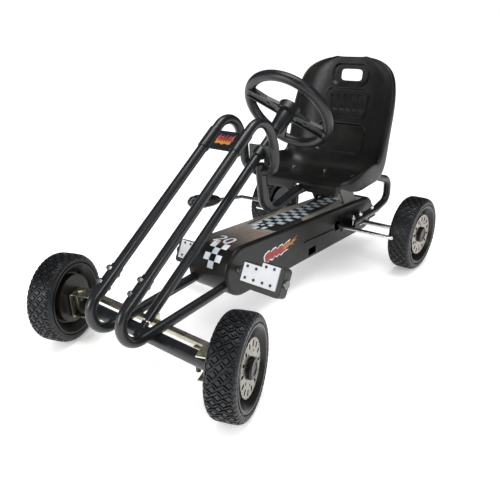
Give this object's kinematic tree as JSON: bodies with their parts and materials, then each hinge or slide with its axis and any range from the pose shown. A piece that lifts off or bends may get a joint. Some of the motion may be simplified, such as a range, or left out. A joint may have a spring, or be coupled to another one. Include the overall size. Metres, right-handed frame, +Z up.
{
  "type": "pedal go kart",
  "caption": "Child's pedal go kart with a tubular frame, bucket seat, steered front wheels, enclosed chain drive, pedals and a hand brake.",
  "frame": {"origin": "middle of the kart's box on the ground, steering stored turned to the left", "axes": "+X forward, +Y to the kart's left, +Z up"},
  "size_m": [1.0362, 0.6014, 0.5538],
  "materials": {
    "black_paint": "satin powder coat",
    "column_paint": "satin powder coat",
    "panel_paint": "satin",
    "zinc_plate": "yellowish zinc plate",
    "bright_steel": "bright plate",
    "disc_plate": "satin silver",
    "black_plastic": "satin moulded",
    "soft_black": "matt soft moulding",
    "tyre_rubber": "matt block tread",
    "white_plastic": "satin",
    "drive_steel": "dark steel",
    "bronze": "sintered bush"
  },
  "bodies": {
    "chassis": {"lower_frame_left": "black_paint", "lower_frame_right": "black_paint", "upper_frame_left": "black_paint", "upper_frame_right": "black_paint", "front_axle_beam": "black_paint", "front_panel": "panel_paint", "column_bracket": "black_paint", "centre_post": "black_paint", "main_beam": "black_paint", "crank_bracket": "black_paint", "crank_bushes": "bronze", "case_upper": "black_plastic", "case_lower": "black_plastic", "hoop_left": "black_paint", "hoop_right": "black_paint", "axle_bracket_left": "black_paint", "axle_bracket_right": "black_paint", "axle_carrier": "black_paint", "axle_bearings": "bright_steel", "seat_bracket": "black_paint", "seat": "black_plastic", "frame_bolts": "bright_steel", "seat_bolts": "bright_steel", "seat_foot_bolts": "bright_steel", "hoop_bolts": "bright_steel", "chain": "drive_steel", "brake_pivot": "zinc_plate"},
    "steering": {"steering_column": "column_paint", "steering_rod": "bright_steel", "steering_wheel": "soft_black"},
    "left_knuckle": {"knuckle_left": "zinc_plate"},
    "right_knuckle": {"knuckle_right": "zinc_plate"},
    "tie_rod": {"tie_rod": "zinc_plate", "tie_rod_pins": "zinc_plate"},
    "front_left_wheel": {"tyre_fl": "tyre_rubber", "rim_fl": "black_plastic", "disc_fl": "disc_plate", "cap_fl": "black_plastic"},
    "front_right_wheel": {"tyre_fr": "tyre_rubber", "rim_fr": "black_plastic", "disc_fr": "disc_plate", "cap_fr": "black_plastic"},
    "rear_axle": {"rear_axle": "bright_steel", "sprocket": "drive_steel", "tyre_rl": "tyre_rubber", "rim_rl": "black_plastic", "disc_rl": "disc_plate", "cap_rl": "black_plastic"},
    "rear_right_wheel": {"tyre_rr": "tyre_rubber", "rim_rr": "black_plastic", "disc_rr": "disc_plate", "cap_rr": "black_plastic"},
    "crank": {"crank": "drive_steel", "chainring": "drive_steel"},
    "left_pedal": {"pedal_left": "soft_black", "pedal_plate_left": "white_plastic"},
    "right_pedal": {"pedal_right": "soft_black", "pedal_plate_right": "white_plastic"},
    "brake": {"brake_lever": "bright_steel", "brake_grip": "black_plastic"}
  },
  "joints": [
    {"name": "steering", "type": "hinge", "parent": "chassis", "child": "steering", "pos_m": [0.38814, 0, 0.1074], "axis": [-0.8236, 0, 0.5671], "range_deg": [-85, 15]},
    {"name": "left_kingpin", "type": "hinge", "parent": "chassis", "child": "left_knuckle", "pos_m": [0.40314, 0.2, 0.09], "axis": [0, 0, 1], "range_deg": [-48.58, 8.58]},
    {"name": "right_kingpin", "type": "hinge", "parent": "chassis", "child": "right_knuckle", "pos_m": [0.40314, -0.2, 0.09], "axis": [0, 0, 1], "range_deg": [-48.58, 8.58]},
    {"name": "tie_rod_pivot", "type": "hinge", "parent": "left_knuckle", "child": "tie_rod", "pos_m": [0.36461, 0.18598, 0.09], "axis": [0, 0, 1], "range_deg": [-8.58, 48.58]},
    {"name": "front_left_spin", "type": "hinge", "parent": "left_knuckle", "child": "front_left_wheel", "pos_m": [0.38795, 0.24172, 0.1], "axis": [-0.342, 0.9397, 0], "continuous": true},
    {"name": "front_right_spin", "type": "hinge", "parent": "right_knuckle", "child": "front_right_wheel", "pos_m": [0.41833, -0.24172, 0.1], "axis": [-0.342, 0.9397, 0], "continuous": true},
    {"name": "rear_axle_spin", "type": "hinge", "parent": "chassis", "child": "rear_axle", "pos_m": [-0.37286, 0, 0.1], "axis": [0, 1, 0], "continuous": true},
    {"name": "rear_right_spin", "type": "hinge", "parent": "rear_axle", "child": "rear_right_wheel", "pos_m": [-0.37286, -0.235, 0.1], "axis": [0, 1, 0], "continuous": true},
    {"name": "crank_spin", "type": "hinge", "parent": "chassis", "child": "crank", "pos_m": [0.14714, 0, 0.141], "axis": [0, 1, 0], "continuous": true},
    {"name": "left_pedal_spin", "type": "hinge", "parent": "crank", "child": "left_pedal", "pos_m": [0.22177, 0.165, 0.18763], "axis": [0, 1, 0], "continuous": true},
    {"name": "right_pedal_spin", "type": "hinge", "parent": "crank", "child": "right_pedal", "pos_m": [0.07251, -0.165, 0.09437], "axis": [0, 1, 0], "continuous": true},
    {"name": "brake_pull", "type": "hinge", "parent": "chassis", "child": "brake", "pos_m": [-0.21486, -0.0695, 0.086], "axis": [0, -1, 0], "range_deg": [0, 8]}
  ],
  "couplings": [
    {"joint": "left_kingpin", "follows": "steering", "ratio": 0.57143},
    {"joint": "right_kingpin", "follows": "steering", "ratio": 0.57143},
    {"joint": "tie_rod_pivot", "follows": "steering", "ratio": -0.57143},
    {"joint": "crank_spin", "follows": "rear_axle_spin", "ratio": 0.58333}
  ]
}
